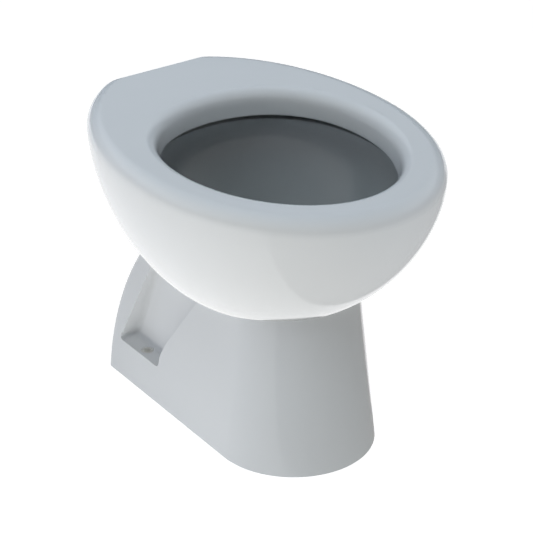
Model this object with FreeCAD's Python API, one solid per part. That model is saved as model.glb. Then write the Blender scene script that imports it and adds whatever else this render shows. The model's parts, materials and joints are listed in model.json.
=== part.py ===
import FreeCAD, Part
import os

from FreeCAD import Vector

# Low floor-standing toilet pan of glazed china, in millimetres.
# It is cast as separate clay pieces that are luted together before firing: a seat rim with a
# flush channel, an outer bowl, an inner basin, a flush horn and box, a water trap and a hollow foot.
# +Z is up, the front of the pan faces -Y, and the origin is on the floor, midway along its length.

# Seat rim: the flat ring that is sat on
rim_width = 295.0
rim_length = 385.0
rim_height = 302.0
widest_y = 1.75
back_cut = 24.3
outer_edge_radius = 15.0
inner_edge_radius = 8.0
deck_thickness = 12.0
rim_wall = 10.0
seam_drop = 34.0
edge_land = 1.0

# Opening in the rim: the decks are measured to the lip, and the wall above it flares out
side_deck = 46.0
front_deck = 48.1
rear_deck = 93.1
opening_y = -12.9
opening_front_fullness = 0.537
opening_rear_fullness = 0.605
opening_flare = 5.0
lip_depth = 26.0
lip_thickness = 9.0

# Outer bowl: the rim's outline drawn in towards a point below and behind the middle
bowl_depth = 169.0
bowl_bottom_y = 48.0
bowl_wall = 10.0
bowl_roundness = 1.62
bowl_fullness = 2.08
bowl_foot_rise = 18.0

# Inner basin: a funnel from under the lip down to the round throat
basin_wall = 9.0
basin_setback = 8.0
basin_clearance = 0.3
channel_floor_thickness = 7.0
throat_y = -36.0
throat_height = 118.0

# Water trap: a siphon bend with a standing water seal, then a drop to the floor
trap_bore = 50.0
trap_wall = 8.0
trap_leg_gap = 4.0
trap_floor_gap = 4.0
water_seal = 50.0
trap_clearance = 0.5

# Outlet spigot around the end of the drop leg
spigot_diameter = 90.0
spigot_wall = 8.0
spigot_length = 50.0
spigot_floor_gap = 8.0
spigot_cap_thickness = 8.0
spigot_gap = 2.0

# Flush horn at the back, with the sleeve that grips the flush pipe
horn_drop = 50.0
horn_bore = 55.0
horn_wall = 10.0
horn_length = 45.0
seal_wall = 5.2
seal_length = 25.0
seal_clearance = 0.3

# Flush box between the horn and the basin, open above into the rim's channel
flush_box_wall = 8.0
flush_box_skirt = 3.0
flush_slot_gap = 6.0

# Hollow foot
foot_width = 159.0
foot_front_y = -41.0
foot_front_reach = 80.0
foot_draft = 0.106
foot_wall = 11.0
heel_y = 175.0
heel_straight = 20.0
heel_waist_set = 15.5
heel_waist_height = 92.0
heel_neck_set = 44.0
heel_neck_height = 146.0
heel_corner_radius = 8.0
web_thickness = 12.0
web_height = 96.0

# Pocket in each side of the foot, with a ledge for a floor screw
ledge_height = 37.5
ledge_width = 20.0
ledge_length = 73.0
heel_post = 19.5
pocket_wall = 10.0
pocket_front_rise = 12.5
pocket_knee_run = 10.0
pocket_knee_rise = 31.5
pocket_front_lean = 0.72
pocket_rear_lean = 0.47
fixing_hole = 13.0
sleeve_clearance = 0.3
sleeve_bore = 7.0

# Handle length of a Bezier quarter that draws a true ellipse
ELLIPSE = 0.5523
SECTIONS = 9
NEAR = 0.05

rim_half = rim_width / 2
rim_front_reach = rim_length / 2 + widest_y
back_y = rim_length / 2
rear_reach = back_y - widest_y + back_cut
opening_width = rim_width - 2 * side_deck
opening_front = rim_length / 2 - front_deck + opening_y
opening_rear = back_y - rear_deck - opening_y
seam_height = rim_height - seam_drop
lip_height = rim_height - lip_depth
bowl_top = rim_height - outer_edge_radius - edge_land
bowl_foot_height = bowl_top - bowl_depth + bowl_foot_rise
channel_floor_low = seam_height - channel_floor_thickness
basin_back_y = opening_y + opening_rear + basin_setback + basin_wall
horn_height = rim_height - horn_drop
horn_outer = horn_bore / 2 + horn_wall
horn_front_y = back_y - horn_length
seal_bore = horn_bore - 2 * (seal_clearance + seal_wall)
trap_radius = trap_bore / 2
trap_outer = trap_radius + trap_wall
spigot_radius = spigot_diameter / 2
trap_bend_radius = trap_outer + trap_leg_gap / 2
weir_bend_radius = (trap_outer + spigot_radius + spigot_gap) / 2
bend_low_z = trap_floor_gap + trap_outer + trap_bend_radius
dip_z = bend_low_z - trap_bend_radius + trap_radius
weir_z = dip_z + water_seal
bend_high_z = weir_z - weir_bend_radius + trap_radius
riser_y = throat_y + 2 * trap_bend_radius
drop_y = riser_y + 2 * weir_bend_radius
drop_leg_end = spigot_floor_gap + spigot_length - spigot_cap_thickness
foot_half = foot_width / 2
foot_top = seam_height
heel_waist_y = heel_y - heel_waist_set
heel_neck_y = heel_y - heel_neck_set
ledge_rear_y = heel_y - heel_post
ledge_front_y = ledge_rear_y - ledge_length
ledge_outside = foot_half - foot_draft * ledge_height
pocket_back = ledge_outside - ledge_width
pocket_knee_y = ledge_front_y - pocket_knee_run
pocket_knee_height = ledge_height + pocket_knee_rise
fixing_x = ledge_outside - ledge_width / 2
fixing_y = (ledge_front_y + ledge_rear_y) / 2
margin = 60.0


def curve_edge(points):
    """One Bezier edge through its control points."""
    curve = Part.BezierCurve()
    curve.setPoles([Vector(*point) for point in points])
    return curve.toShape()


def oval(half_width, front, rear, y, z, front_full=ELLIPSE, rear_full=ELLIPSE):
    """A closed outline, widest at y, that reaches forward by front and back by rear."""
    right = (half_width, y, z)
    left = (-half_width, y, z)
    back = (0, y + rear, z)
    nose = (0, y - front, z)
    in_rear = rear_full * half_width
    in_front = front_full * half_width
    edges = [
        curve_edge([right, (half_width, y + rear_full * rear, z), (in_rear, y + rear, z), back]),
        curve_edge([back, (-in_rear, y + rear, z), (-half_width, y + rear_full * rear, z), left]),
        curve_edge([left, (-half_width, y - front_full * front, z), (-in_front, y - front, z), nose]),
        curve_edge([nose, (in_front, y - front, z), (half_width, y - front_full * front, z), right]),
    ]
    return Part.Wire(edges)


def prism(wire, height):
    """The upright solid over a flat outline."""
    return Part.Face(wire).extrude(Vector(0, 0, height))


def box(x_low, x_high, y_low, y_high, z_low, z_high):
    """A block between two corners."""
    return Part.makeBox(x_high - x_low, y_high - y_low, z_high - z_low, Vector(x_low, y_low, z_low))


def side_prism(wire, x_low, x_high):
    """The solid made by pushing an outline in the YZ plane along X."""
    face = Part.Face(wire)
    face.translate(Vector(x_low, 0, 0))
    return face.extrude(Vector(x_high - x_low, 0, 0))


def bowl_section(z, inset):
    """The bowl's outline at height z, drawn in by inset on every side."""
    depth = (bowl_top - z) / (bowl_depth - inset)
    swell = (1 - depth ** bowl_roundness) ** (1 / bowl_fullness)
    half = (rim_half - inset) * swell
    front = (rim_front_reach - inset) * swell
    rear = (rear_reach - inset) * swell
    return oval(half, front, rear, bowl_bottom_y + (widest_y - bowl_bottom_y) * swell, z)


def bowl_body(inset):
    """The whole bowl as a solid up to the rim's top, before its back is cut flat."""
    bottom = bowl_foot_height + inset
    step = (bowl_top - bottom) / (SECTIONS - 1)
    sections = [bowl_section(bottom + step * i, inset) for i in range(SECTIONS)]
    lower = Part.makeLoft(sections, True, False)
    return lower.fuse(prism(sections[-1], rim_height - bowl_top)).removeSplitter()


def behind(y):
    """Everything behind an upright plane."""
    return box(-rim_width, rim_width, y, rear_reach + rim_length, -margin, rim_height + margin)


def opening_outline(grow, z):
    """The rim's opening, grown by the same amount all round."""
    return oval(opening_width / 2 + grow, opening_front + grow, opening_rear + grow, opening_y, z,
                opening_front_fullness, opening_rear_fullness)


def opening_form(grow, z_low):
    """The opening as a solid that widens from the lip up past the deck."""
    lean = opening_flare / lip_depth
    z_high = rim_height + lip_depth
    sections = [opening_outline(grow + lean * (z - lip_height), z) for z in (z_low, z_high)]
    return Part.makeLoft(sections, True, True)


def edges_at(shape, z, outline):
    """The edges of a shape that lie at height z along an outline."""
    found = []
    for edge in shape.Edges:
        middle = edge.valueAt((edge.FirstParameter + edge.LastParameter) / 2)
        if abs(middle.z - z) < NEAR and outline.distToShape(Part.Vertex(middle))[0] < NEAR:
            found.append(edge)
    return found


def above(z):
    """Everything above a level."""
    return box(-rim_width, rim_width, -rim_length, rim_length, z, rim_height + margin)


def horn_tube(radius, length):
    """A round bar from the back face forward, on the flush horn's axis."""
    return Part.makeCylinder(radius, length, Vector(0, back_y, horn_height), Vector(0, -1, 0))


def leg(radius, y, z_low, z_high):
    """An upright round bar of the trap."""
    return Part.makeCylinder(radius, z_high - z_low, Vector(0, y, z_low))


def half_turn(radius, bend_radius, y, z, over):
    """A half ring of the trap about (y, z): over the top, or round the bottom."""
    ring = Part.makeTorus(bend_radius, radius, Vector(0, y, z), Vector(1, 0, 0))
    reach = bend_radius + trap_outer + margin
    low, high = (z, z + reach) if over else (z - reach, z)
    return ring.common(box(-reach, reach, y - reach, y + reach, low, high))


def foot_section(z, inset, y_rear):
    """The foot's outline at height z: a round front and straight sides, leaning in as it rises."""
    inward = inset + foot_draft * z
    half = foot_half - inward
    front = foot_front_reach - inward
    y = foot_front_y
    nose = (0, y - front, z)
    left = (-half, y, z)
    right = (half, y, z)
    edges = [
        curve_edge([left, (-half, y - ELLIPSE * front, z), (-ELLIPSE * half, y - front, z), nose]),
        curve_edge([nose, (ELLIPSE * half, y - front, z), (half, y - ELLIPSE * front, z), right]),
        Part.makeLine(right, (half, y_rear, z)),
        Part.makeLine((half, y_rear, z), (-half, y_rear, z)),
        Part.makeLine((-half, y_rear, z), left),
    ]
    return Part.Wire(edges)


def foot_block(inset, y_rear):
    """The foot as a leaning solid from the floor up into the bowl."""
    sections = [foot_section(0, inset, y_rear), foot_section(foot_top, inset, y_rear)]
    return Part.makeLoft(sections, True, True)


def heel_cut():
    """What is taken away behind the foot's curved heel."""
    top = foot_top + margin
    far = heel_y + rim_length
    lean = (heel_waist_y - heel_neck_y) / (heel_neck_height - heel_waist_height)
    crown_y = heel_neck_y - lean * (top - heel_neck_height)
    arc = Part.Arc(Vector(0, heel_y, heel_straight), Vector(0, heel_waist_y, heel_waist_height),
                   Vector(0, heel_neck_y, heel_neck_height)).toShape()
    points = [(heel_neck_y, heel_neck_height), (crown_y, top), (far, top), (far, -margin),
              (heel_y, -margin), (heel_y, heel_straight)]
    lines = [Part.makeLine((0, *points[i]), (0, *points[i + 1])) for i in range(len(points) - 1)]
    return side_prism(Part.Wire([arc] + lines), -foot_width, foot_width)


def pocket_outline():
    """The pocket seen from the side: a ledge, two slanting edges, and open up to the bowl."""
    top = foot_top
    rear_top = ledge_rear_y - pocket_rear_lean * (top - ledge_height)
    front_top = pocket_knee_y - pocket_front_lean * (top - pocket_knee_height)
    points = [
        (ledge_front_y, ledge_height),
        (ledge_rear_y, ledge_height),
        (rear_top, top),
        (front_top, top),
        (pocket_knee_y, pocket_knee_height),
        (ledge_front_y, ledge_height + pocket_front_rise),
    ]
    corners = [Vector(0, y, z) for y, z in points]
    return Part.makePolygon(corners + corners[:1])


def both_sides(solid):
    """A solid and its mirror image across the middle of the pan."""
    return [solid, solid.mirror(Vector(0, 0, 0), Vector(1, 0, 0))]


def fixing_bar(radius, z_low, z_high):
    """An upright round bar at each floor screw's place, in the middle of its ledge."""
    bar = leg(radius, fixing_y, z_low, z_high)
    return [bar.translated(Vector(x, 0, 0)) for x in (-fixing_x, fixing_x)]


def heel_edges(block):
    """The two outer edges of the heel, from the floor up."""
    found = []
    for edge in block.Edges:
        middle = edge.valueAt((edge.FirstParameter + edge.LastParameter) / 2)
        outside = foot_half - foot_draft * middle.z
        on_side = abs(abs(middle.x) - outside) < NEAR and middle.y > foot_front_y + NEAR
        if on_side and NEAR < middle.z < foot_top - NEAR:
            found.append(edge)
    return found


def seat_rim():
    """The ring that is sat on: a flat deck with rolled edges over a flush channel."""
    ring = bowl_body(0)
    top_outline = bowl_section(bowl_top, 0).translated(Vector(0, 0, rim_height - bowl_top))
    ring = ring.makeFillet(outer_edge_radius, edges_at(ring, rim_height, top_outline))
    ring = ring.common(above(seam_height)).cut(behind(back_y))
    ring = ring.cut(opening_form(0, seam_height - lip_depth))
    inner_edge = opening_outline(opening_flare, rim_height)
    ring = ring.makeFillet(inner_edge_radius, edges_at(ring, rim_height, inner_edge))
    inside = bowl_body(rim_wall).cut(behind(back_y - rim_wall))
    under_deck = inside.cut(above(rim_height - deck_thickness))
    lip = opening_form(lip_thickness, lip_height)
    return ring.cut(under_deck.cut(lip)).cut(horn_tube(horn_outer, horn_length))


def foot_well():
    """The clear space inside the foot, up to where the heel ends."""
    return foot_block(foot_wall, heel_neck_y)


def bowl_shell():
    """The outer bowl, open below where the trap goes down into the foot."""
    outside = bowl_body(0).cut(behind(back_y))
    inside = bowl_body(bowl_wall).cut(behind(back_y - bowl_wall))
    shell = outside.cut(inside).cut(above(seam_height)).cut(foot_well())
    shell = shell.cut(basin_funnel(basin_wall + basin_clearance))
    hole = trap_outer + trap_clearance
    shell = shell.cut([sump_bend(hole), over_weir(hole), drop(hole)])
    return shell.cut(horn_tube(horn_outer, horn_length))


def basin_section(share, grow):
    """The basin's outline at a share of its height, from the throat at 0 to the top at 1."""
    blend = share * share * (3 - 2 * share)

    def between(low, high):
        return low + (high - low) * blend

    top_grow = basin_setback + grow
    return oval(
        between(trap_radius + grow, opening_width / 2 + top_grow),
        between(trap_radius + grow, opening_front + top_grow),
        between(trap_radius + grow, opening_rear + top_grow),
        between(throat_y, opening_y),
        throat_height + (seam_height - throat_height) * share,
        between(ELLIPSE, opening_front_fullness),
        between(ELLIPSE, opening_rear_fullness),
    )


def basin_funnel(grow):
    """The basin's solid form, grown by a wall or by nothing."""
    return Part.makeLoft([basin_section(i / (SECTIONS - 1), grow) for i in range(SECTIONS)], True, False)


def inner_basin():
    """The funnel that holds the water."""
    return basin_funnel(basin_wall).cut(basin_funnel(0))


def channel_floor():
    """The flat ring round the top of the basin that closes the rim's flush channel below."""
    within = bowl_body(bowl_wall).cut(behind(back_y - bowl_wall)).cut(above(seam_height))
    slot_half = horn_bore / 2
    slot = box(-slot_half, slot_half, basin_back_y + flush_slot_gap, horn_front_y - flush_box_wall,
               channel_floor_low, seam_height)
    ring = within.common(above(channel_floor_low)).cut(slot).cut(horn_tube(horn_outer, horn_length))
    return ring.cut(basin_funnel(basin_wall)).removeSplitter()


def flush_horn():
    """The round socket at the back that takes the flush pipe's sleeve."""
    return horn_tube(horn_outer, horn_length).cut(horn_tube(horn_bore / 2, horn_length))


def inlet_seal():
    """The rubber sleeve in the horn."""
    outer = horn_bore / 2 - seal_clearance
    return horn_tube(outer, seal_length).cut(horn_tube(seal_bore / 2, seal_length))


def flush_box():
    """The trough under the channel floor that leads the flush from the horn up into the rim."""
    half = horn_outer + flush_box_skirt
    low = horn_height - half
    wall = flush_box_wall
    outside = box(-half, half, opening_y, horn_front_y, low, channel_floor_low)
    inside = box(wall - half, half - wall, opening_y, horn_front_y - wall, low + wall, channel_floor_low)
    trough = outside.cut(inside).cut(horn_tube(horn_bore / 2, horn_length + wall))
    return trough.cut(basin_funnel(basin_wall))


def sump_bend(radius):
    """The round way from the throat down, under the dip and up to the weir."""
    down = leg(radius, throat_y, bend_low_z, throat_height)
    round_bottom = half_turn(radius, trap_bend_radius, throat_y + trap_bend_radius, bend_low_z, False)
    up = leg(radius, riser_y, bend_low_z, bend_high_z)
    return down.fuse([round_bottom, up]).removeSplitter()


def over_weir(radius):
    """The round way over the weir."""
    return half_turn(radius, weir_bend_radius, riser_y + weir_bend_radius, bend_high_z, True)


def drop(radius):
    """The round way from the weir's end down to the outlet."""
    return leg(radius, drop_y, drop_leg_end, bend_high_z)


def trap_bend():
    """The trap's first casting, which holds the standing water."""
    return sump_bend(trap_outer).cut(sump_bend(trap_radius))


def weir_bend():
    """The trap's second casting, over the weir."""
    return over_weir(trap_outer).cut(over_weir(trap_radius))


def drop_leg():
    """The trap's last casting, straight down to the outlet."""
    return drop(trap_outer).cut(drop(trap_radius))


def outlet_spigot():
    """The wider collar round the end of the drop, for the floor drain's sleeve."""
    collar = leg(spigot_radius, drop_y, spigot_floor_gap, drop_leg_end + spigot_cap_thickness)
    hollow = leg(spigot_radius - spigot_wall, drop_y, spigot_floor_gap, drop_leg_end)
    return collar.cut(hollow).cut(leg(trap_outer, drop_y, drop_leg_end, bend_high_z))


def pedestal_foot():
    """The hollow foot, open at the back, with a pocket pressed into each side."""
    block = foot_block(0, heel_y + margin).cut(heel_cut())
    block = block.makeFillet(heel_corner_radius, heel_edges(block))
    walls = block.cut(foot_block(foot_wall, heel_y + 2 * margin))
    outline = pocket_outline()
    grown = Part.Face(outline).makeOffset2D(pocket_wall).OuterWire
    liner = side_prism(grown, pocket_back - pocket_wall, foot_width).common(block)
    hollow = side_prism(outline, pocket_back, foot_width)
    foot = walls.fuse(both_sides(liner)).cut(both_sides(hollow))
    foot = foot.cut(fixing_bar(fixing_hole / 2, 0, ledge_height))
    foot = foot.cut(leg(spigot_radius + spigot_gap, drop_y, 0, drop_leg_end + spigot_cap_thickness))
    return foot.cut(bowl_body(0)).removeSplitter()


def front_web():
    """The upright rib that ties the trap to the front of the foot."""
    half = web_thickness / 2
    rib = box(-half, half, foot_front_y - foot_front_reach, throat_y - trap_radius, 0, web_height)
    return rib.common(foot_block(foot_wall, heel_y)).cut(sump_bend(trap_outer))


def fixing_sleeves():
    """Two nylon sleeves that keep the floor screws off the china."""
    low = ledge_height - pocket_wall
    bushes = fixing_bar(fixing_hole / 2 - sleeve_clearance, low, ledge_height)
    bores = fixing_bar(sleeve_bore / 2, low, ledge_height)
    return Part.makeCompound([bush.cut(bore) for bush, bore in zip(bushes, bores)])


PIECES = [seat_rim, bowl_shell, inner_basin, channel_floor, flush_horn, inlet_seal, flush_box,
          trap_bend, weir_bend, drop_leg, outlet_spigot, pedestal_foot, front_web, fixing_sleeves]

os.makedirs("parts", exist_ok=True)
for piece in PIECES:
    shape = piece()
    shape.exportStep("parts/" + piece.__name__ + ".step")
    print(piece.__name__, len(shape.Solids), "solids, valid", shape.isValid(), "volume", round(shape.Volume))
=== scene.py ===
# %% [markdown]
# # A low toilet pan of white glazed china
# The pan stands on the floor. Its broad rolled rim is what is sat on, a round bowl hangs below the rim,
# and a narrower foot with a pocket in each side carries the bowl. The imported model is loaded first, so
# that every piece made here lies in the same frame as the solids, in metres.

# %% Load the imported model
import json
import math

import bmesh
import bpy
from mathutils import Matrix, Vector

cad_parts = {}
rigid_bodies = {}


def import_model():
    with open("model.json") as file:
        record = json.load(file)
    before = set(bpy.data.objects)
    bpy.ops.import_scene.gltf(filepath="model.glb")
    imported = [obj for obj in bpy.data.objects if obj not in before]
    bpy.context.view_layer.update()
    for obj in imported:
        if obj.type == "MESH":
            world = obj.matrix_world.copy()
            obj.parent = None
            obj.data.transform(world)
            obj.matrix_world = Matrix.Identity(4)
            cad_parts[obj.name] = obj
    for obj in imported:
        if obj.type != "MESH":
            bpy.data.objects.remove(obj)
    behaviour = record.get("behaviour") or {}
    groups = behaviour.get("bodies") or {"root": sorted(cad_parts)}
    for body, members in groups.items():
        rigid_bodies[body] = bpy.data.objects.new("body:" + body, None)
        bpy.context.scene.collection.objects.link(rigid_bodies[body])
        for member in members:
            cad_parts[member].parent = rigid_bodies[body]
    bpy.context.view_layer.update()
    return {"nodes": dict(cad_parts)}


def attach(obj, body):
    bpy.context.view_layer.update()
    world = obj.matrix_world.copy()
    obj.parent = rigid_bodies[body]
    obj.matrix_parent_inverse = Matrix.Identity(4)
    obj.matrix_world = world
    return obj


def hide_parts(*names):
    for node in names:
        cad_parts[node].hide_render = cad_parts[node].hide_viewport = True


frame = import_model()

print("nodes", sorted(frame["nodes"]))


# %% [markdown]
# ## Tools for working as by hand
# Blender's operators act on whatever is selected. Each step therefore starts from nothing selected, makes
# one object active, and picks edges or faces by where they are. These few helpers do that picking, so
# that the steps below can be read as a list of moves.

# %% Selection helpers
def clear_selection():
    if bpy.context.object and bpy.context.object.mode != "OBJECT":
        bpy.ops.object.mode_set(mode="OBJECT")
    bpy.ops.object.select_all(action="DESELECT")


def make_active(piece):
    clear_selection()
    piece.select_set(True)
    bpy.context.view_layer.objects.active = piece


def open_for_editing(piece, pick):
    make_active(piece)
    bpy.ops.object.mode_set(mode="EDIT")
    bpy.ops.mesh.select_mode(type=pick)
    bpy.ops.mesh.select_all(action="DESELECT")
    return bmesh.from_edit_mesh(piece.data)


def pick_edges(piece, test):
    mesh = open_for_editing(piece, "EDGE")
    count = 0
    for edge in mesh.edges:
        if test(edge):
            edge.select_set(True)
            count += 1
    bmesh.update_edit_mesh(piece.data)
    return count


def close_editing(piece, name):
    bpy.ops.object.mode_set(mode="OBJECT")
    piece.name = name
    piece.data.name = name
    print(name, len(piece.data.polygons), "faces")


# %% [markdown]
# Modifiers do the heavy work on whole pieces. They are applied at once, so that what is left is plain
# geometry. A cut takes one form away from another, as a tool does, and the tool is then thrown away.

# %% Modifier helpers
def apply_modifier(piece, kind, **settings):
    make_active(piece)
    step = piece.modifiers.new(kind.lower(), kind)
    for setting, value in settings.items():
        setattr(step, setting, value)
    bpy.ops.object.modifier_apply(modifier=step.name)


def cut(piece, tool, operation="DIFFERENCE"):
    apply_modifier(piece, "BOOLEAN", object=tool, operation=operation, solver="EXACT")
    bpy.data.objects.remove(tool)


def own_copy(piece, name):
    twin = piece.copy()
    twin.data = piece.data.copy()
    twin.name = name
    twin.data.name = name
    bpy.context.collection.objects.link(twin)
    return twin


def round_bar(radius, place, length, lying=False):
    clear_selection()
    turned = (math.pi / 2, 0, 0) if lying else (0, 0, 0)
    bpy.ops.mesh.primitive_cylinder_add(vertices=96, radius=radius, depth=length, location=place, rotation=turned)
    return bpy.context.object


def smooth_skin(piece, angle):
    make_active(piece)
    bpy.ops.object.shade_smooth_by_angle(angle=math.radians(angle))


# %% [markdown]
# ## Outlines
# Seen from above, the rim is two half ellipses that meet at the widest place, and its back is flat so that
# it can stand against a wall. The opening is a fuller oval. A ring of points can be drawn on any of these
# outlines if every point keeps its own turn round the ring. Glaze leaves no sharp corner, so the flat
# back is eased into the ellipse over a couple of millimetres.

# %% Rim outline
RIM_HALF = 0.1475
RIM_FRONT = 0.19425
RIM_REAR = 0.21505
RIM_Y = 0.00175
BACK_Y = 0.1925
BACK_SOFT = 0.0008
BOWL_Y = 0.048


def flat_back(y, limit):
    start = limit - BACK_SOFT
    return y if y < start else limit - BACK_SOFT * math.exp((start - y) / BACK_SOFT)


def rim_ring(inset, swell=1.0, back=BACK_Y):
    def place(turn):
        reach = RIM_REAR if math.sin(turn) > 0 else RIM_FRONT
        x = (RIM_HALF - inset) * math.cos(turn)
        y = RIM_Y + (reach - inset) * math.sin(turn)
        return x * swell, flat_back(BOWL_Y + (y - BOWL_Y) * swell, back)
    return place


def between(first, second, share):
    def place(turn):
        a = first(turn)
        b = second(turn)
        return a[0] + (b[0] - a[0]) * share, a[1] + (b[1] - a[1]) * share
    return place


print("rim", 2 * RIM_HALF, "wide")

# %% [markdown]
# An oval whose front and back can be fuller or leaner than an ellipse is drawn with one curve for each
# quarter. The fullness is the length of the curve's handles: 0.5523 draws a true ellipse.

# %% Opening outline
OPEN_HALF = 0.1015
OPEN_FRONT = 0.1315
OPEN_REAR = 0.1123
OPEN_Y = -0.0129
FRONT_FULL = 0.537
REAR_FULL = 0.605
ELLIPSE = 0.5523


def oval_ring(half, front, rear, y0, front_full=ELLIPSE, rear_full=ELLIPSE):
    def place(turn):
        behind = math.sin(turn) > 0
        reach, full = (rear, rear_full) if behind else (-front, front_full)
        share = math.asin(min(1.0, abs(math.sin(turn)))) / (math.pi / 2)
        rest = 1 - share
        side = rest ** 3 + 3 * rest * rest * share + 3 * rest * share * share * full
        ahead = 3 * rest * rest * share * full + 3 * rest * share * share + share ** 3
        return math.copysign(half * side, math.cos(turn)), y0 + reach * ahead
    return place


def opening_ring(grow):
    return oval_ring(OPEN_HALF + grow, OPEN_FRONT + grow, OPEN_REAR + grow, OPEN_Y, FRONT_FULL, REAR_FULL)


def round_ring(radius, y0=0.0):
    def place(turn):
        return radius * math.cos(turn), y0 + radius * math.sin(turn)
    return place


print("opening", 2 * OPEN_HALF, "wide and", round(OPEN_FRONT + OPEN_REAR, 4), "long")

# %% [markdown]
# ## Drawing a ringed skin
# A thrown or cast vessel can be drawn as a stack of rings. A circle is added, its edge is extruded again and
# again, and each new ring is moved to its outline and height. At the end the last ring is bridged to
# the first, which closes the skin all round, inside and outside.

# %% Ring stacking
AROUND = 240


def stack_rings(rings, name, around=AROUND, lay=Vector):
    clear_selection()
    bpy.ops.mesh.primitive_circle_add(vertices=around, radius=0.1, location=(0, 0, 0))
    piece = bpy.context.object
    mesh = open_for_editing(piece, "EDGE")
    turn = mesh.verts.layers.float.new("turn")
    for point in mesh.verts:
        point[turn] = math.atan2(point.co.y, point.co.x)
    bpy.ops.mesh.select_all(action="SELECT")
    for level, (outline, z) in enumerate(rings):
        if level:
            bpy.ops.mesh.extrude_edges_move()
        mesh = bmesh.from_edit_mesh(piece.data)
        turn = mesh.verts.layers.float["turn"]
        for point in mesh.verts:
            if point.select:
                x, y = outline(point[turn])
                point.co = lay((x, y, z))
    mesh = bmesh.from_edit_mesh(piece.data)
    for edge in mesh.edges:
        edge.select_set(edge.is_boundary)
    bmesh.update_edit_mesh(piece.data)
    bpy.ops.mesh.bridge_edge_loops()
    bpy.ops.mesh.select_all(action="SELECT")
    bpy.ops.mesh.normals_make_consistent(inside=False)
    close_editing(piece, name)
    return piece


# %% [markdown]
# ## The pan's body: rim and bowl
# On the real pan the rim and the bowl are two castings, but one glaze runs over both and hides the seam. They
# are therefore one skin here. It starts under the bowl, swells up to the rim, rolls over the outer edge and
# crosses the flat deck.

# %% Outside of the body
RIM_TOP = 0.302
ROLL = 0.015
BACK_EDGE = 0.003
BOWL_TOP = 0.286
BOWL_DEPTH = 0.169
BOWL_FOOT = 0.135


def bowl_swell(z, inset=0.0):
    depth = (BOWL_TOP - z) / (BOWL_DEPTH - inset)
    return (1 - depth ** 1.62) ** (1 / 2.08)


def back_at(z):
    rise = max(0.0, z - RIM_TOP + BACK_EDGE)
    return BACK_Y - BACK_EDGE + math.sqrt(max(0.0, BACK_EDGE ** 2 - rise ** 2))


body_rings = []
for i in range(27):
    z = BOWL_FOOT + (BOWL_TOP - BOWL_FOOT) * (i / 26) ** 1.25
    body_rings.append((rim_ring(0, bowl_swell(z)), z))
for i in range(13):
    angle = math.pi / 2 * i / 12
    z = RIM_TOP - ROLL + ROLL * math.sin(angle)
    body_rings.append((rim_ring(ROLL * (1 - math.cos(angle)), back=back_at(z)), z))
print("outside", len(body_rings), "rings")

# %% [markdown]
# The opening's wall flares out a little as it rises, as a casting must to leave its mould, and turns over a
# quarter ellipse into the deck. At its foot the wall ends in a lip that keeps the flush from splashing.

# %% Deck, wall and lip
LIP_Z = 0.276
LIP_WALL = 0.009
LIP_EDGE = 0.0016
FLARE = 0.005
ROLL_WIDE = 0.012
ROLL_DEEP = 0.018
flare_angle = math.atan2(FLARE, RIM_TOP - LIP_Z)


def flare_at(z):
    return math.tan(flare_angle) * (z - LIP_Z)


roll_z = RIM_TOP - ROLL_DEEP
roll_end = math.atan2(ROLL_WIDE, ROLL_DEEP * math.tan(flare_angle))
wall_high = roll_z + ROLL_DEEP * math.cos(roll_end)
roll_out = flare_at(wall_high) + ROLL_WIDE * math.sin(roll_end)
for i in range(1, 6):
    body_rings.append((between(rim_ring(ROLL, back=BACK_Y - BACK_EDGE), opening_ring(roll_out), i / 6), RIM_TOP))
for i in range(17):
    angle = roll_end * i / 16
    body_rings.append((opening_ring(roll_out - ROLL_WIDE * math.sin(angle)), roll_z + ROLL_DEEP * math.cos(angle)))
wall_low = LIP_Z + LIP_EDGE
for i in range(1, 5):
    z = wall_high + (wall_low - wall_high) * i / 5
    body_rings.append((opening_ring(flare_at(z)), z))
for i in range(6):
    angle = math.pi / 2 * i / 5
    grow = flare_at(wall_low) + LIP_EDGE * (1 - math.cos(angle))
    body_rings.append((opening_ring(grow), wall_low - LIP_EDGE * math.sin(angle)))
for i in range(6):
    angle = math.pi / 2 * i / 5
    grow = LIP_WALL - LIP_EDGE * (1 - math.sin(angle))
    body_rings.append((opening_ring(grow), wall_low - LIP_EDGE * math.cos(angle)))
print("with the opening", len(body_rings), "rings")

# %% [markdown]
# Behind the lip runs the channel that carries the flush round the rim. The skin comes back there under the
# deck, and then down the inner face of the bowl to where it started.

# %% Inside of the body
DECK = 0.012
WALL = 0.010
CHANNEL_TOP = RIM_TOP - DECK
CHANNEL_FILLET = 0.003
fillet_low = CHANNEL_TOP - CHANNEL_FILLET
lip_back = LIP_WALL + flare_at(fillet_low)
body_rings.append((opening_ring(lip_back), fillet_low))
body_rings.append((opening_ring(lip_back + CHANNEL_FILLET), CHANNEL_TOP))
body_rings.append((between(opening_ring(lip_back), rim_ring(WALL, back=BACK_Y - WALL), 0.9), CHANNEL_TOP))
for i in range(19):
    z = BOWL_TOP - (BOWL_TOP - BOWL_FOOT - WALL) * (1 - (1 - i / 18) ** 1.25)
    body_rings.append((rim_ring(WALL, bowl_swell(z, WALL), BACK_Y - WALL), z))
pan_body = stack_rings(body_rings, "pan_body")

# %% [markdown]
# The flush pipe enters through a round socket in the flat back. A cylinder is used as a drill: a boolean takes
# its volume away from the back wall, and the socket itself is made later as its own piece.

# %% Hole for the flush socket
HORN_Z = 0.252
HORN_OUTER = 0.0375
cut(pan_body, round_bar(HORN_OUTER, (0, BACK_Y, HORN_Z), 0.06, lying=True))
smooth_skin(pan_body, 40)
apply_modifier(pan_body, "WEIGHTED_NORMAL", keep_sharp=True)
print("body box", [round(v, 4) for v in pan_body.dimensions])

# %% [markdown]
# ## The inner basin
# Under the lip hangs the funnel that holds the water. It is a casting of its own inside the bowl, and only its
# inner face is seen. It rises from the round throat, ends in a small round upstand just below the lip, and
# comes down again on the outside.

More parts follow.
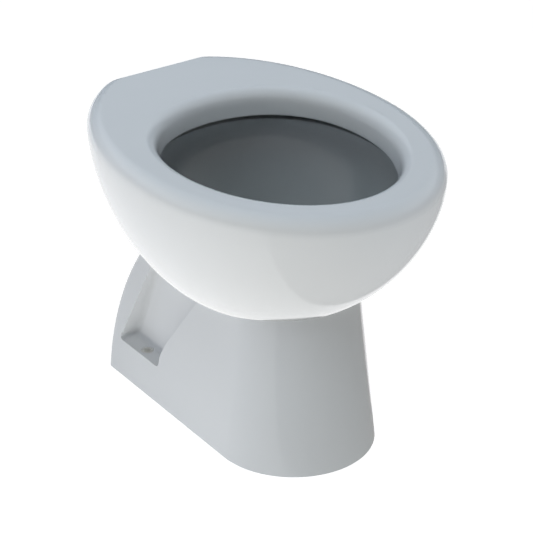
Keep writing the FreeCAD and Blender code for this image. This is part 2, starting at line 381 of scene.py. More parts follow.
# %% Basin
SEAM_Z = 0.268
THROAT_Z = 0.118
THROAT_Y = -0.036
TRAP_R = 0.025
BASIN_WALL = 0.009
BASIN_SET = 0.008
UPSTAND = 0.0014
UPSTAND_EDGE = 0.001


def basin_ring(share, grow):
    mix = share * share * (3 - 2 * share)
    small = TRAP_R + grow
    large = BASIN_SET + grow
    return oval_ring(small + (OPEN_HALF + large - small) * mix, small + (OPEN_FRONT + large - small) * mix,
                     small + (OPEN_REAR + large - small) * mix, THROAT_Y + (OPEN_Y - THROAT_Y) * mix,
                     ELLIPSE + (FRONT_FULL - ELLIPSE) * mix, ELLIPSE + (REAR_FULL - ELLIPSE) * mix)


def basin_z(share):
    return THROAT_Z + (SEAM_Z - THROAT_Z) * share


basin_rings = [(basin_ring(i / 40, 0), basin_z(i / 40)) for i in range(41)]
upstand_z = SEAM_Z + UPSTAND - UPSTAND_EDGE
for i in range(6):
    angle = math.pi / 2 * i / 5
    basin_rings.append((basin_ring(1, UPSTAND_EDGE * (1 - math.cos(angle))), upstand_z + UPSTAND_EDGE * math.sin(angle)))
for i in range(6):
    angle = math.pi / 2 * i / 5
    grow = BASIN_WALL - UPSTAND_EDGE * (1 - math.sin(angle))
    basin_rings.append((basin_ring(1, grow), upstand_z + UPSTAND_EDGE * math.cos(angle)))
basin_rings += [(basin_ring(1 - i / 20, BASIN_WALL), basin_z(1 - i / 20)) for i in range(21)]
basin = stack_rings(basin_rings, "basin", around=160)
smooth_skin(basin, 50)

# %% [markdown]
# ## The foot
# The foot is a hollow casting, open below and behind. Its front is half round, its sides are flat, and all
# of them lean in as they rise. It is built like the mould it comes from: a block with the outer form, less a
# block with the inner form, less a pocket in each side and the curve of the heel.

# %% Foot blocks
FOOT_HALF = 0.0795
FOOT_FRONT = 0.080
FOOT_Y = -0.041
FOOT_LEAN = 0.106
FOOT_WALL = 0.011
FOOT_TOP = 0.200


def foot_block(inset, rear_y, low, high, name):
    clear_selection()
    bpy.ops.mesh.primitive_circle_add(vertices=128, radius=1.0, fill_type="NGON", location=(0, 0, 0))
    block = bpy.context.object
    mesh = open_for_editing(block, "VERT")
    half = FOOT_HALF - inset - FOOT_LEAN * low
    front = FOOT_FRONT - inset - FOOT_LEAN * low
    for point in mesh.verts:
        corner = abs(abs(point.co.x) - point.co.y) < 1e-4
        point.select_set(point.co.y > 1e-4 and not corner)
        ahead = FOOT_Y + point.co.y * front if point.co.y < 1e-4 else rear_y
        side = math.copysign(half, point.co.x) if corner else point.co.x * half
        point.co = (side, ahead, low)
    mesh.select_flush_mode()
    bmesh.update_edit_mesh(block.data)
    bpy.ops.mesh.dissolve_verts()
    bpy.ops.mesh.select_all(action="SELECT")
    bpy.ops.mesh.extrude_region_move(TRANSFORM_OT_translate={"value": (0, 0, high - low)})
    mesh = bmesh.from_edit_mesh(block.data)
    shrink = FOOT_LEAN * (high - low)
    for point in mesh.verts:
        if point.select:
            point.co.x *= (half - shrink) / half
            if point.co.y < FOOT_Y:
                point.co.y = FOOT_Y + (point.co.y - FOOT_Y) * (front - shrink) / front
    bmesh.update_edit_mesh(block.data)
    bpy.ops.mesh.select_all(action="SELECT")
    bpy.ops.mesh.normals_make_consistent(inside=False)
    close_editing(block, name)
    return block


foot = foot_block(0, 0.24, 0, FOOT_TOP, "foot")


# %% [markdown]
# Forms that are the same all the way across the pan are drawn from the side: a circle with as many points as
# the outline has corners is laid on the outline, filled, and pushed through in one extrusion.

# %% Side prism
def side_prism(points, x_low, x_high, name):
    clear_selection()
    bpy.ops.mesh.primitive_circle_add(vertices=len(points), radius=0.1, fill_type="NGON", location=(0, 0, 0))
    block = bpy.context.object
    mesh = open_for_editing(block, "VERT")
    mesh.verts.ensure_lookup_table()
    for point, (y, z) in zip(mesh.verts, points):
        point.co = (x_low, y, z)
    bmesh.update_edit_mesh(block.data)
    bpy.ops.mesh.select_all(action="SELECT")
    bpy.ops.mesh.extrude_region_move(TRANSFORM_OT_translate={"value": (x_high - x_low, 0, 0)})
    bpy.ops.mesh.select_all(action="SELECT")
    bpy.ops.mesh.normals_make_consistent(inside=False)
    close_editing(block, name)
    return block


# %% [markdown]
# The heel curves forward as it rises: upright at the floor, then an arc through the waist, then a straight
# line up into the bowl. The curve is cut while the block is still solid, so that its two outer edges are
# long and clean and take a round bevel.

# %% Heel curve
HEEL_Y = 0.175
HEEL_LOW = (HEEL_Y, 0.020)
HEEL_WAIST = (HEEL_Y - 0.0155, 0.092)
HEEL_NECK = (HEEL_Y - 0.044, 0.146)
FAR = 0.3


def arc_through(a, b, c, count):
    twice = 2 * (a[0] * (b[1] - c[1]) + b[0] * (c[1] - a[1]) + c[0] * (a[1] - b[1]))
    far_a, far_b, far_c = (p[0] * p[0] + p[1] * p[1] for p in (a, b, c))
    mid_y = (far_a * (b[1] - c[1]) + far_b * (c[1] - a[1]) + far_c * (a[1] - b[1])) / twice
    mid_z = (far_a * (c[0] - b[0]) + far_b * (a[0] - c[0]) + far_c * (b[0] - a[0])) / twice
    radius = math.hypot(a[0] - mid_y, a[1] - mid_z)
    start = math.atan2(a[1] - mid_z, a[0] - mid_y)
    sweep = math.atan2(c[1] - mid_z, c[0] - mid_y) - start
    turns = [start + sweep * i / count for i in range(count + 1)]
    return [(mid_y + radius * math.cos(t), mid_z + radius * math.sin(t)) for t in turns]


neck_lean = (HEEL_WAIST[0] - HEEL_NECK[0]) / (HEEL_NECK[1] - HEEL_WAIST[1])
crown = (HEEL_NECK[0] - neck_lean * (FAR - HEEL_NECK[1]), FAR)
heel_curve = arc_through(HEEL_LOW, HEEL_WAIST, HEEL_NECK, 24)
heel_outline = [(HEEL_Y, -FAR)] + heel_curve + [crown, (FAR, FAR), (FAR, -FAR)]
cut(foot, side_prism(heel_outline, -FAR, FAR, "heel_cutter"))


# %% Heel edges
def on_side(place):
    return abs(abs(place.x) - (FOOT_HALF - FOOT_LEAN * place.z)) < 2e-4


def heel_side(edge):
    a, b = (point.co for point in edge.verts)
    same_side = on_side(a) and on_side(b) and a.x * b.x > 0
    return same_side and any(face.normal.y > 0.3 for face in edge.link_faces)


print("heel edges", pick_edges(foot, heel_side))
bpy.ops.mesh.bevel(offset=0.008, segments=6, profile=0.5, affect="EDGES")
close_editing(foot, "foot")

# %% [markdown]
# The pocket in each side leaves room for a floor screw and its driver. Its floor is a ledge, and two slanting
# edges run up from it to the bowl. The pocket's wall is first added to the inside of the hollow foot.

# %% Hollow and pocket walls
LEDGE_Z = 0.0375
LEDGE_REAR = HEEL_Y - 0.0195
LEDGE_FRONT = LEDGE_REAR - 0.073
KNEE_LOW = (LEDGE_FRONT, LEDGE_Z + 0.0125)
KNEE = (LEDGE_FRONT - 0.010, LEDGE_Z + 0.0315)
FRONT_SLANT = 0.72
REAR_SLANT = 0.47
POCKET_X = 0.055525
POCKET_WALL = 0.010
POCKET_TOP = 0.23
POCKET_OUT = 0.12


def pocket_outline(grow):
    front_grow = math.hypot(1, FRONT_SLANT) * grow
    rear_grow = math.hypot(1, REAR_SLANT) * grow
    return [
        (LEDGE_FRONT - grow, LEDGE_Z - grow),
        (LEDGE_REAR + rear_grow, LEDGE_Z - grow),
        (LEDGE_REAR + rear_grow - REAR_SLANT * (POCKET_TOP - LEDGE_Z), POCKET_TOP),
        (KNEE[0] - front_grow - FRONT_SLANT * (POCKET_TOP - KNEE[1]), POCKET_TOP),
        (KNEE[0] - front_grow, KNEE[1]),
        (KNEE_LOW[0] - grow, KNEE_LOW[1]),
    ]


foot_form = own_copy(foot, "foot_form")
cut(foot, foot_block(FOOT_WALL, FAR, -0.02, FOOT_TOP + 0.02, "foot_hollow"))
for side in (-1, 1):
    deep = side * (POCKET_X - POCKET_WALL)
    liner = side_prism(pocket_outline(POCKET_WALL), min(deep, side * POCKET_OUT), max(deep, side * POCKET_OUT), "liner")
    cut(liner, own_copy(foot_form, "liner_form"), "INTERSECT")
    cut(foot, liner, "UNION")
bpy.data.objects.remove(foot_form)
print("foot with pocket walls", len(foot.data.polygons), "faces")

# %% [markdown]
# Then the pocket itself is taken out. Slip-cast clay has no sharp inner corners, so the deep edges of the
# cutter are rounded before it is used and leave a soft hollow behind.

# %% Pockets
DEEP_ROUND = 0.006


def pocket_cutter(side):
    deep = side * POCKET_X
    tool = side_prism(pocket_outline(0), min(deep, side * POCKET_OUT), max(deep, side * POCKET_OUT), "pocket_cutter")

    def deep_edge(edge):
        return any(abs(point.co.x - deep) < 1e-5 and point.co.z < POCKET_TOP - 1e-4 for point in edge.verts)

    pick_edges(tool, deep_edge)
    bpy.ops.mesh.bevel(offset=DEEP_ROUND, segments=6, profile=0.5, affect="EDGES")
    close_editing(tool, "pocket_cutter")
    return tool


for side in (-1, 1):
    cut(foot, pocket_cutter(side))
print("foot with pockets", len(foot.data.polygons), "faces")

# %% [markdown]
# The pocket's outer edges are rounded too. The rear one is wiped round by hand on the damp clay and is the
# softest, while the front edge stays crisper. One bevel does all of them, and a weight on each
# edge says how much of its width that edge gets.

# %% Soft pocket edges
RIM_ROUND = 0.0045
REAR_SHARE = 1.0
LEDGE_SHARE = 0.9
FRONT_SHARE = 0.6


def pocket_rim(edge):
    a, b = (point.co for point in edge.verts)
    low = min(a.z, b.z) > LEDGE_Z - 1e-4 and min(a.z, b.z) < FOOT_TOP - 0.001
    within = all(-0.05 < p.y < HEEL_Y and on_side(p) for p in (a, b))
    outer = any(abs(face.normal.x) > 0.95 for face in edge.link_faces)
    walls = [face.normal for face in edge.link_faces if abs(face.normal.x) < 0.3]
    return walls[0] if low and within and outer and walls else None


mesh = open_for_editing(foot, "EDGE")
weight = mesh.edges.layers.float.new("bevel_weight_edge")
for edge in mesh.edges:
    wall = pocket_rim(edge)
    if wall:
        edge[weight] = LEDGE_SHARE if wall.z > 0.9 else REAR_SHARE if wall.y < 0 else FRONT_SHARE
bmesh.update_edit_mesh(foot.data)
close_editing(foot, "foot")
apply_modifier(foot, "BEVEL", width=RIM_ROUND, segments=5, limit_method="WEIGHT")
print("foot with soft pockets", len(foot.data.polygons), "faces")

# %% [markdown]
# Two holes are drilled down through the ledges for the floor screws, and the pocket walls are relieved
# round the drain spigot that stands between them.

# %% Holes in the foot
FIXING_X = FOOT_HALF - FOOT_LEAN * LEDGE_Z - 0.010
FIXING_Y = (LEDGE_FRONT + LEDGE_REAR) / 2
FIXING_R = 0.0065
DROP_Y = 0.114
SPIGOT_R = 0.045
SPIGOT_TOP = 0.058
for side in (-1, 1):
    cut(foot, round_bar(FIXING_R, (side * FIXING_X, FIXING_Y, 0.02), 0.06))
cut(foot, round_bar(SPIGOT_R + 0.002, (0, DROP_Y, SPIGOT_TOP - 0.05), 0.10))
print("foot with holes", len(foot.data.polygons), "faces")

# %% [markdown]
# Where the foot meets the bowl there is a crisp crease. The upper end of the foot is cut away with a copy of
# the bowl's own form, a hair smaller, so the two skins meet exactly along it.

# %% Crease under the bowl
HAIR = 0.0004
crease_rings = []
for i in range(25):
    z = BOWL_FOOT + 0.001 + (BOWL_TOP - BOWL_FOOT - 0.001) * (i / 24) ** 1.25
    crease_rings.append((rim_ring(HAIR, bowl_swell(z)), z))
crease_rings.append((rim_ring(0.12), BOWL_TOP))
crease_rings.append((rim_ring(0.12, 0.3), BOWL_FOOT + 0.001))
cut(foot, stack_rings(crease_rings, "bowl_form"))
smooth_skin(foot, 40)
apply_modifier(foot, "WEIGHTED_NORMAL", keep_sharp=True)
print("foot box", [round(v, 4) for v in foot.dimensions])


# %% [markdown]
# ## The flush socket and its seal
# The socket is a thick china tube let into the back. Its mouth is flush with the back and rounded so that the
# pipe finds its way in. The rings are stacked along the tube's own axis, which lies along Y.

# %% Flush socket
HORN_BORE = 0.0275
HORN_LENGTH = 0.045
MOUTH = 0.003


def from_the_back(place):
    return Vector((place[0], BACK_Y - place[2], HORN_Z + place[1]))


horn_rings = [(round_ring(HORN_OUTER), HORN_LENGTH), (round_ring(HORN_OUTER), 0.001), (round_ring(HORN_OUTER - 0.001), 0)]
for i in range(9):
    angle = math.pi / 2 * i / 8
    horn_rings.append((round_ring(HORN_BORE + MOUTH * (1 - math.sin(angle))), MOUTH * (1 - math.cos(angle))))
horn_rings.append((round_ring(HORN_BORE), HORN_LENGTH))
horn = stack_rings(horn_rings, "flush_socket", around=96, lay=from_the_back)
smooth_skin(horn, 40)

# %% [markdown]
# The rubber sleeve in the socket is moulded with soft ribs inside that grip the pipe and keep the water in.

# %% Rubber seal
SEAL_OUTER = 0.0272
SEAL_BORE = 0.022
SEAL_LENGTH = 0.025
RIB_DEPTH = 0.0007
RIBS = 4
seal_rings = [(round_ring(SEAL_OUTER), SEAL_LENGTH), (round_ring(SEAL_OUTER), 0.0008), (round_ring(SEAL_OUTER - 0.0008), 0)]
for i in range(RIBS * 8 + 1):
    along = i / (RIBS * 8)
    groove = RIB_DEPTH * (1 + math.cos(2 * math.pi * RIBS * along))
    seal_rings.append((round_ring(SEAL_BORE + groove), SEAL_LENGTH * along))
seal = stack_rings(seal_rings, "rubber_seal", around=96, lay=from_the_back)
smooth_skin(seal, 40)

# %% [markdown]
# ## The floor-screw sleeves
# A nylon sleeve in each hole keeps the steel screw off the china. It is a short tube with rounded ends. One is
# modelled in its place on the left, and a copy with its own mesh is moved to the right.

# %% Nylon sleeves
SLEEVE_R = 0.0062
SLEEVE_BORE = 0.0035
SLEEVE_LOW = LEDGE_Z - POCKET_WALL
SLEEVE_EDGE = 0.0005


def at_left_hole(place):
    return Vector((place[0] - FIXING_X, place[1] + FIXING_Y, place[2]))


sleeve_profile = [(SLEEVE_R, SLEEVE_LOW + SLEEVE_EDGE), (SLEEVE_R, LEDGE_Z - SLEEVE_EDGE),
                  (SLEEVE_R - SLEEVE_EDGE, LEDGE_Z), (SLEEVE_BORE + SLEEVE_EDGE, LEDGE_Z),
                  (SLEEVE_BORE, LEDGE_Z - SLEEVE_EDGE), (SLEEVE_BORE, SLEEVE_LOW + SLEEVE_EDGE),
                  (SLEEVE_BORE + SLEEVE_EDGE, SLEEVE_LOW), (SLEEVE_R - SLEEVE_EDGE, SLEEVE_LOW)]
left_sleeve = stack_rings([(round_ring(r), z) for r, z in sleeve_profile], "left_sleeve", around=48, lay=at_left_hole)
smooth_skin(left_sleeve, 50)
right_sleeve = own_copy(left_sleeve, "right_sleeve")
open_for_editing(right_sleeve, "VERT")
bpy.ops.mesh.select_all(action="SELECT")
bpy.ops.transform.translate(value=(2 * FIXING_X, 0, 0))
close_editing(right_sleeve, "right_sleeve")


# %% [markdown]
# ## The water trap
# Below the throat the way out dips, rises over a weir and drops to the floor, so that some water always stays
# behind and keeps the drain's air out. Each bend is a tube: two circles, one for each face of the wall, are
# extruded straight and spun about the bend's centre, and then the wall is closed at both ends.

# %% Trap bends
TRAP_OUTER = 0.033
SUMP_Z = 0.072
WEIR_Z = 0.097
RISER_Y = 0.034


def start_tube(y, z):
    clear_selection()
    bpy.ops.mesh.primitive_circle_add(vertices=72, radius=TRAP_OUTER, location=(0, 0, 0))
    tube = bpy.context.object
    open_for_editing(tube, "EDGE")
    bpy.ops.mesh.primitive_circle_add(vertices=72, radius=TRAP_R, location=(0, 0, 0))
    bpy.ops.mesh.select_all(action="SELECT")
    bpy.ops.transform.translate(value=(0, y, z))
    return tube


def run_tube(rise):
    bpy.ops.mesh.extrude_edges_move(TRANSFORM_OT_translate={"value": (0, 0, rise)})


def turn_tube(y, z, half_turns):
    bpy.ops.mesh.spin(steps=28, angle=math.pi * half_turns, center=(0, y, z), axis=(1, 0, 0))


def close_tube(tube, name):
    bpy.ops.object.mode_set(mode="OBJECT")
    heights = sorted({round(edge_point.co.z, 4) for edge_point in tube.data.vertices})
    for end_y, end_z in tube_ends:
        pick_edges(tube, lambda edge: edge.is_boundary and all(
            abs(p.co.z - end_z) < 1e-5 and abs(p.co.y - end_y) < TRAP_OUTER + 1e-4 for p in edge.verts))
        bpy.ops.mesh.bridge_edge_loops()
    bpy.ops.mesh.select_all(action="SELECT")
    bpy.ops.mesh.normals_make_consistent(inside=False)
    close_editing(tube, name)
    smooth_skin(tube, 40)
    print(name, "from", heights[0], "to", heights[-1], "m high")


trap_sump = start_tube(THROAT_Y, THROAT_Z)
run_tube(SUMP_Z - THROAT_Z)
turn_tube((THROAT_Y + RISER_Y) / 2, SUMP_Z, -1)
run_tube(WEIR_Z - SUMP_Z)
tube_ends = ((THROAT_Y, THROAT_Z), (RISER_Y, WEIR_Z))
close_tube(trap_sump, "trap_sump")
trap_weir = start_tube(RISER_Y, WEIR_Z)
turn_tube((RISER_Y + DROP_Y) / 2, WEIR_Z, 1)
tube_ends = ((RISER_Y, WEIR_Z), (DROP_Y, WEIR_Z))
close_tube(trap_weir, "trap_weir")

# %% [markdown]
# The last run is straight. Round its end sits the wider spigot that goes into the drain's sleeve in the floor.

# %% Drop and spigot
DROP_LOW = 0.050
SPIGOT_LOW = 0.008
SPIGOT_IN = 0.037
SPIGOT_EDGE = 0.002
drop_profile = [(TRAP_OUTER, DROP_LOW), (TRAP_OUTER, WEIR_Z), (TRAP_R, WEIR_Z), (TRAP_R, DROP_LOW)]
trap_drop = stack_rings([(round_ring(r, DROP_Y), z) for r, z in drop_profile], "trap_drop", around=72)
smooth_skin(trap_drop, 40)
spigot_profile = [(SPIGOT_R - SPIGOT_EDGE, SPIGOT_LOW), (SPIGOT_R, SPIGOT_LOW + SPIGOT_EDGE),
                  (SPIGOT_R, SPIGOT_TOP - SPIGOT_EDGE), (SPIGOT_R - SPIGOT_EDGE, SPIGOT_TOP),
                  (TRAP_OUTER, SPIGOT_TOP), (TRAP_OUTER, DROP_LOW), (SPIGOT_IN, DROP_LOW),
                  (SPIGOT_IN, SPIGOT_LOW + SPIGOT_EDGE), (SPIGOT_IN + SPIGOT_EDGE, SPIGOT_LOW)]
spigot = stack_rings([(round_ring(r, DROP_Y), z) for r, z in spigot_profile], "spigot", around=96)
smooth_skin(spigot, 50)


# %% [markdown]
# ## Glaze, bare clay, rubber and nylon
# White glaze is glass with a little tin in it. It is never quite even: it pools and thins by a shade, its gloss
# varies, and its surface has a slight orange-peel wave. Where the foot stands on the floor the glaze is wiped
# off before firing, and the same matt clay shows on the hidden pieces inside.

# %% Material helpers
def add_node(tree, kind, **settings):
    node = tree.nodes.new(kind)
    for setting, value in settings.items():
        setattr(node, setting, value)
    return node


def noise_at(tree, scale, detail):
    where = add_node(tree, "ShaderNodeTexCoord")
    noise = add_node(tree, "ShaderNodeTexNoise")
    noise.inputs["Scale"].default_value = scale
    noise.inputs["Detail"].default_value = detail
    tree.links.new(where.outputs["Object"], noise.inputs["Vector"])
    return noise.outputs["Fac"]


def uneven_material(name, colours, colour_scale, gloss, gloss_scale, wave, wave_scale):
    material = bpy.data.materials.new(name)
    material.use_nodes = True
    tree = material.node_tree
    skin = tree.nodes["Principled BSDF"]
    shade = add_node(tree, "ShaderNodeMix", data_type="RGBA")
    shade.inputs["A"].default_value = (*colours[0], 1)
    shade.inputs["B"].default_value = (*colours[1], 1)
    tree.links.new(noise_at(tree, colour_scale, 3.0), shade.inputs["Factor"])
    tree.links.new(shade.outputs["Result"], skin.inputs["Base Color"])
    spread = add_node(tree, "ShaderNodeMapRange")
    spread.inputs["From Min"].default_value = 0.3
    spread.inputs["From Max"].default_value = 0.7
    spread.inputs["To Min"].default_value = gloss[0]
    spread.inputs["To Max"].default_value = gloss[1]
    tree.links.new(noise_at(tree, gloss_scale, 2.0), spread.inputs["Value"])
    tree.links.new(spread.outputs["Result"], skin.inputs["Roughness"])
    relief = add_node(tree, "ShaderNodeBump")
    relief.inputs["Strength"].default_value = 0.5
    relief.inputs["Distance"].default_value = wave
    tree.links.new(noise_at(tree, wave_scale, 2.0), relief.inputs["Height"])
    tree.links.new(relief.outputs["Normal"], skin.inputs["Normal"])
    print("material", name)
    return material


# %% Materials
white_glaze = uneven_material("white_glaze", ((0.815, 0.823, 0.827), (0.785, 0.797, 0.803)), 12.0,
                              (0.06, 0.11), 40.0, 0.00006, 130.0)
thin_glaze = uneven_material("thin_glaze", ((0.80, 0.79, 0.77), (0.74, 0.72, 0.68)), 20.0,
                             (0.2, 0.35), 40.0, 0.0002, 160.0)
bare_clay = uneven_material("bare_clay", ((0.76, 0.72, 0.65), (0.66, 0.61, 0.53)), 90.0,
                            (0.8, 0.95), 60.0, 0.0003, 500.0)
black_rubber = uneven_material("black_rubber", ((0.045, 0.045, 0.047), (0.065, 0.065, 0.066)), 60.0,
                               (0.6, 0.8), 80.0, 0.0002, 600.0)
natural_nylon = uneven_material("natural_nylon", ((0.80, 0.79, 0.75), (0.76, 0.745, 0.70)), 70.0,
                                (0.35, 0.5), 90.0, 0.0001, 400.0)

# %% [markdown]
# Every piece now gets its finish, takes the place of the solids it stands for, and is tied to the pan, which
# is one rigid thing. The underside of the foot gets bare clay on its faces alone. Three pieces that can only be
# glimpsed inside keep the shape of their solids and are given bare clay too.

# %% Finishes and places
PIECES = (
    (pan_body, ("seat_rim", "bowl_shell"), "glazed_china", white_glaze),
    (basin, ("inner_basin",), "glazed_china", white_glaze),
    (foot, ("pedestal_foot",), "glazed_china", white_glaze),
    (horn, ("flush_horn",), "glazed_china", white_glaze),
    (seal, ("inlet_seal",), "seal_rubber", black_rubber),
    (left_sleeve, ("fixing_sleeves",), "sleeve_nylon", natural_nylon),
    (right_sleeve, ("fixing_sleeves",), "sleeve_nylon", natural_nylon),
    (trap_sump, ("trap_bend",), "glazed_china", thin_glaze),
    (trap_weir, ("weir_bend",), "glazed_china", thin_glaze),
    (trap_drop, ("drop_leg",), "glazed_china", thin_glaze),
    (spigot, ("outlet_spigot",), "glazed_china", thin_glaze),
)
for piece, nodes, slot, material in PIECES:
    piece.data.materials.clear()
    piece.data.materials.append(material)
    piece.visible_glossy = piece in (pan_body, basin)
    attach(piece, "root")
    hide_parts(*nodes)
foot.data.materials.append(bare_clay)
for face in foot.data.polygons:
    if face.center.z < 0.0005 and face.normal.z < -0.9:
        face.material_index = 1
for node in ("channel_floor", "flush_box", "front_web"):
    for place in frame["nodes"][node].material_slots:
        place.material = bare_clay
    frame["nodes"][node].visible_glossy = False
print("finished", len(PIECES), "pieces")

# %% [markdown]
# ## The camera
# The photographer stood in front and to the left, some two metres away, and looked down on the rim with a long
# lens. A long lens keeps the sides nearly parallel, which is why the pan looks calm.

# %% Camera
camera_data = bpy.data.cameras.new("camera")
camera = bpy.data.objects.new("camera", camera_data)
bpy.context.collection.objects.link(camera)
camera.location = (-1.1416674, -1.6723036, 1.2409470)
azimuth = math.radians(-34.2603)
elevation = math.radians(27.9954)
level = math.cos(elevation)
toward = Vector((-math.sin(azimuth) * level, math.cos(azimuth) * level, -math.sin(elevation)))
camera.rotation_euler = toward.to_track_quat("-Z", "Y").to_euler()
camera_data.sensor_width = 36.0
camera_data.lens = 2410.382 / 533 * 36.0
bpy.context.scene.camera = camera
print("camera", round(camera.location.length, 2), "m from the pan")

# %% [markdown]
# ## Floor and light
# The pan stands on a pale floor in a white studio. The camera sees the floor as white with a soft shadow. The
# pan is lit by the floor as much as by the lamps: all of it glows a little, and a patch close by on the left
# glows more. In the glaze the floor mirrors as a bright panel with an edge that runs away to the front.

# %% Floor
clear_selection()
bpy.ops.mesh.primitive_plane_add(size=8, location=(0, 0, 0))
floor = bpy.context.object
floor.name = "floor"
bpy.context.scene.view_settings.view_transform = "Standard"
pale = bpy.data.materials.new("pale_floor")
pale.use_nodes = True
tree = pale.node_tree
tree.nodes.clear()
where = add_node(tree, "ShaderNodeTexCoord")


def floor_level(direction, low, high, dark, bright):
    across = add_node(tree, "ShaderNodeVectorMath", operation="DOT_PRODUCT")
    across.inputs[1].default_value = direction
    ramp = add_node(tree, "ShaderNodeMapRange", interpolation_type="SMOOTHSTEP")
    ramp.inputs["From Min"].default_value = low
    ramp.inputs["From Max"].default_value = high
    ramp.inputs["To Min"].default_value = dark
    ramp.inputs["To Max"].default_value = bright
    tree.links.new(where.outputs["Object"], across.inputs[0])
    tree.links.new(across.outputs["Value"], ramp.inputs["Value"])
    return ramp.outputs["Result"]


def floor_patch(place, reach, near, far):
    away = add_node(tree, "ShaderNodeVectorMath", operation="DISTANCE")
    away.inputs[1].default_value = place
    ramp = add_node(tree, "ShaderNodeMapRange", interpolation_type="SMOOTHSTEP")
    ramp.inputs["From Min"].default_value = 0.0
    ramp.inputs["From Max"].default_value = reach
    ramp.inputs["To Min"].default_value = near
    ramp.inputs["To Max"].default_value = far
    tree.links.new(where.outputs["Object"], away.inputs[0])
    tree.links.new(away.outputs["Value"], ramp.inputs["Value"])
    return ramp.outputs["Result"]


def add_up(first, second):
    both = add_node(tree, "ShaderNodeAddShader")
    tree.links.new(first.outputs[0], both.inputs[0])
    tree.links.new(second.outputs[0], both.inputs[1])
    return both


def choose(ray, otherwise, chosen):
    path = add_node(tree, "ShaderNodeLightPath")
    mix = add_node(tree, "ShaderNodeMixShader")
    tree.links.new(path.outputs[ray], mix.inputs[0])
    tree.links.new(otherwise.outputs[0], mix.inputs[1])
    tree.links.new(chosen.outputs[0], mix.inputs[2])
    return mix


dull = add_node(tree, "ShaderNodeBsdfDiffuse")
dull.inputs["Color"].default_value = (0.85, 0.85, 0.85, 1)
panel = add_node(tree, "ShaderNodeEmission")
panel.inputs["Color"].default_value = (1.0, 1.0, 0.98, 1)
tree.links.new(floor_patch((-0.32, 0, 0), 0.35, 1.03, 0.56), panel.inputs["Strength"])
faint = add_node(tree, "ShaderNodeBsdfDiffuse")
faint.inputs["Color"].default_value = (0.40, 0.40, 0.40, 1)
bright = add_node(tree, "ShaderNodeEmission")
bright.inputs["Strength"].default_value = 0.97
seen_floor = add_up(faint, bright)
mirrored = add_node(tree, "ShaderNodeEmission")
tree.links.new(floor_level((-0.39, 0.92, 0), -0.0885, -0.0845, 0.45, 1.05), mirrored.inputs["Strength"])
shown = choose("Is Camera Ray", add_up(dull, panel), seen_floor)
shown = choose("Is Transmission Ray", shown, seen_floor)
shown = choose("Is Glossy Ray", shown, mirrored)
out = add_node(tree, "ShaderNodeOutputMaterial")
tree.links.new(shown.outputs[0], out.inputs["Surface"])
floor.data.materials.append(pale)
print("floor", [round(v, 2) for v in floor.dimensions])

# %% [markdown]
# The world is white where the camera sees it. In the glaze it mirrors as bright walls under a dark ceiling. It
# gives no light of its own, so the lamps and the floor alone shape the pan.

# %% World
world = bpy.data.worlds.new("studio")
bpy.context.scene.world = world
world.use_nodes = True
tree = world.node_tree
tree.nodes.clear()
where = add_node(tree, "ShaderNodeTexCoord")
split = add_node(tree, "ShaderNodeSeparateXYZ")
tree.links.new(where.outputs["Generated"], split.inputs[0])


def by_height(low, high, under, over):
    ramp = add_node(tree, "ShaderNodeMapRange", interpolation_type="SMOOTHSTEP")
    ramp.inputs["From Min"].default_value = low
    ramp.inputs["From Max"].default_value = high
    ramp.inputs["To Min"].default_value = under
    ramp.inputs["To Max"].default_value = over
    tree.links.new(split.outputs["Z"], ramp.inputs["Value"])
    return ramp.outputs["Result"]


white = add_node(tree, "ShaderNodeBackground")
white.inputs["Color"].default_value = (1, 1, 1, 1)
ceiling = add_node(tree, "ShaderNodeBackground")
both = add_node(tree, "ShaderNodeMath", operation="MULTIPLY")
tree.links.new(by_height(0.30, 0.40, 0.10, 0.76), both.inputs[0])
tree.links.new(by_height(0.60, 0.80, 1.0, 0.57), both.inputs[1])
tree.links.new(both.outputs[0], ceiling.inputs["Strength"])
dark = add_node(tree, "ShaderNodeBackground")
dark.inputs["Strength"].default_value = 0.0
shown = choose("Is Camera Ray", dark, white)
shown = choose("Is Transmission Ray", shown, white)
shown = choose("Is Glossy Ray", shown, ceiling)
out = add_node(tree, "ShaderNodeOutputWorld")
tree.links.new(shown.outputs[0], out.inputs["Surface"])
print("world", world.name)
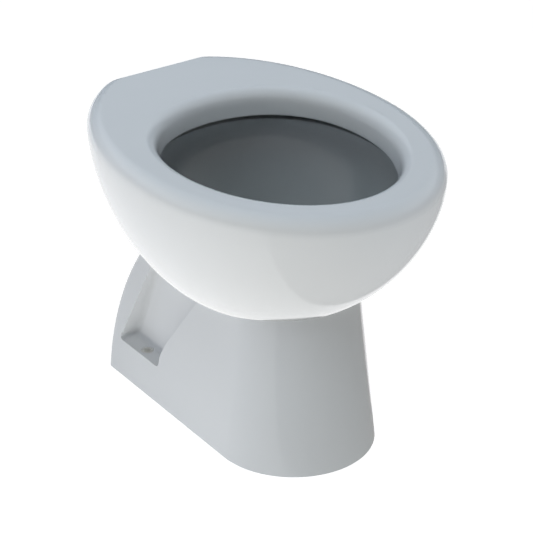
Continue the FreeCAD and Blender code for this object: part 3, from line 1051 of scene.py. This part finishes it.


# %% [markdown]
# One soft lamp stands in front, and two low ones stand on the left and behind. The others are strips and lamps that a
# photographer sets for one part of the pan: two strips at the rim's own height and a lamp above the back shape the rim
# and the bowl alone, and the basin, which lies in the rim's shade in the photograph, has two weak lamps of its own.

# %% Lamps
def softbox(name, place, width, height, power, colour):
    lamp = bpy.data.lights.new(name, "AREA")
    lamp.shape = "RECTANGLE"
    lamp.size = width
    lamp.size_y = height
    lamp.energy = power
    lamp.color = colour
    box = bpy.data.objects.new(name, lamp)
    bpy.context.collection.objects.link(box)
    box.location = place
    box.rotation_euler = (Vector((0, 0, RIM_TOP)) - Vector(place)).to_track_quat("-Z", "Y").to_euler()
    box.visible_glossy = False
    return box


all_but_basin = bpy.data.collections.new("all_but_basin")
only_basin = bpy.data.collections.new("only_basin")
only_body = bpy.data.collections.new("only_body")
only_body.objects.link(pan_body)
for piece in bpy.context.scene.objects:
    if piece.type == "MESH":
        group = only_basin if piece in (basin, trap_sump) else all_but_basin
        group.objects.link(piece)
for lamp in (softbox("light_in_front", (-0.75, -1.1, 2.1), 1.2, 1.0, 14.6, (0.87, 0.95, 1.0)),
             softbox("light_low_left", (-1.9, 0.45, 0.40), 1.2, 0.5, 4.4, (0.80, 0.87, 1.0)),
             softbox("light_low_rear", (-1.2, 1.6, 0.40), 0.8, 0.5, 3.8, (0.75, 0.84, 1.0))):
    lamp.light_linking.receiver_collection = all_but_basin
for lamp in (softbox("rim_light_above", (0.2, 0.7, 2.2), 0.8, 0.8, 20.0, (0.79, 0.89, 1.0)),
             softbox("rim_strip_left", (-2.0, -0.5, 0.38), 1.6, 0.3, 7.4, (1.0, 0.95, 0.85)),
             softbox("rim_strip_right", (1.5, -1.4, 0.38), 1.6, 0.3, 10.8, (0.92, 0.95, 1.0))):
    lamp.light_linking.receiver_collection = only_body
for lamp in (softbox("basin_light_above", (0.0, 0.5, 2.1), 1.0, 1.0, 3.4, (0.72, 0.94, 1.0)),
             softbox("basin_light_left", (-1.5, 0.2, 1.6), 1.0, 0.8, 2.7, (0.81, 0.88, 1.0))):
    lamp.light_linking.receiver_collection = only_basin
